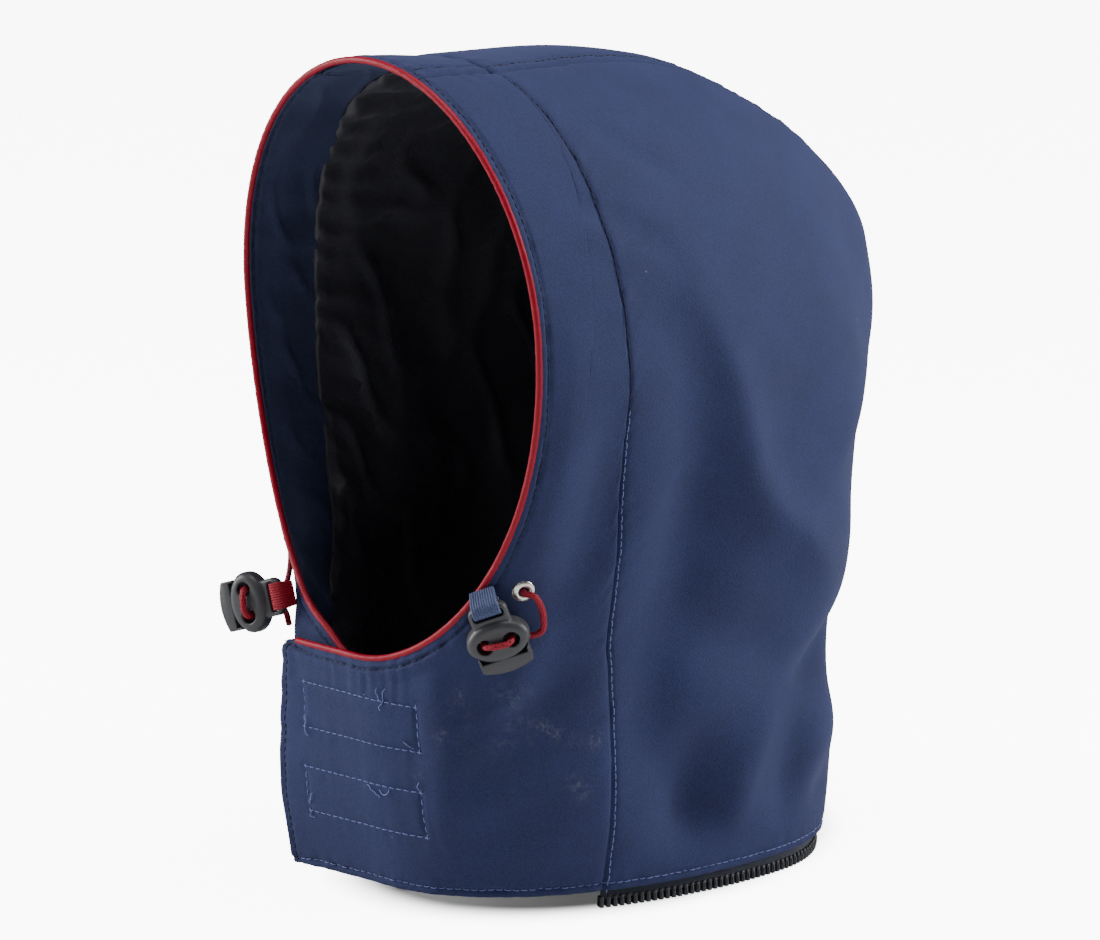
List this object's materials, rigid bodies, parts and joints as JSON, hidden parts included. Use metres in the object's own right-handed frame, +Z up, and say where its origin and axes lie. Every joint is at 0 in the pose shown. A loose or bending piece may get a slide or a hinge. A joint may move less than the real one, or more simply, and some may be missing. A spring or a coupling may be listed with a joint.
{
  "type": "detachable hood",
  "caption": "Padded cloth hood that zips on round the neck, with a piped face opening, an overlapping front flap, drawcords and push-button cord locks.",
  "frame": {"origin": "middle of the footprint's box, on the level that the zip teeth stand on", "axes": "+Z up to the crown, the face opening looks along -Y, +X is the wearer's left"},
  "size_m": [0.191, 0.2701, 0.3381],
  "materials": {
    "navy_shell": "matte softshell with a fine speckled grain",
    "navy_facing": "matte softshell, inner face",
    "black_lining": "soft thin lining",
    "hook_tape": "hook fastening tape",
    "loop_tape": "loop fastening tape",
    "red_piping": "satin piping",
    "zip_plastic": "moulded plastic",
    "zip_tape": "herringbone woven tape",
    "lock_plastic": "fine satin moulded plastic",
    "navy_webbing": "ribbed grosgrain",
    "red_webbing": "ribbed grosgrain",
    "eyelet_metal": "pale nickel plate",
    "red_cord": "braided cord",
    "slider_metal": "dark satin paint"
  },
  "bodies": {
    "hood": {"front_panel_left": "navy_shell", "front_panel_right": "navy_shell", "front_panel_top": "navy_shell", "facing_left": "navy_facing", "facing_right": "navy_facing", "facing_top": "navy_facing", "side_panel_left": "navy_shell", "side_panel_right": "navy_shell", "centre_panel": "navy_shell", "lining_left": "black_lining", "lining_right": "black_lining", "lining_centre": "black_lining", "hook_patch_upper": "hook_tape", "hook_patch_lower": "hook_tape", "loop_patch_upper": "loop_tape", "loop_patch_lower": "loop_tape", "piping": "red_piping", "zip_teeth": "zip_plastic", "zip_tape": "zip_tape", "cord_lock_body_left": "lock_plastic", "cord_lock_body_right": "lock_plastic", "webbing_loop_left": "navy_webbing", "webbing_loop_right": "red_webbing", "eyelet_left": "eyelet_metal", "eyelet_right": "eyelet_metal", "drawcord_left": "red_cord", "drawcord_right": "red_cord", "zip_slider": "slider_metal"},
    "button_left": {"cord_lock_button_left": "lock_plastic"},
    "button_right": {"cord_lock_button_right": "lock_plastic"},
    "pull": {"zip_pull": "slider_metal"}
  },
  "joints": [
    {"name": "press_left", "type": "slide", "parent": "hood", "child": "button_left", "axis": [-0.046, -0.4181, 0.9072], "range_m": [0, 0.004], "stiffness_N_per_m": 800},
    {"name": "press_right", "type": "slide", "parent": "hood", "child": "button_right", "axis": [0.9169, 0.272, 0.2922], "range_m": [0, 0.004], "stiffness_N_per_m": 800},
    {"name": "pull_swing", "type": "hinge", "parent": "hood", "child": "pull", "pos_m": [-0.06836, -0.06696, 0.0039], "axis": [-0.1564, -0.0754, -0.9848], "range_deg": [-60, 105]}
  ]
}
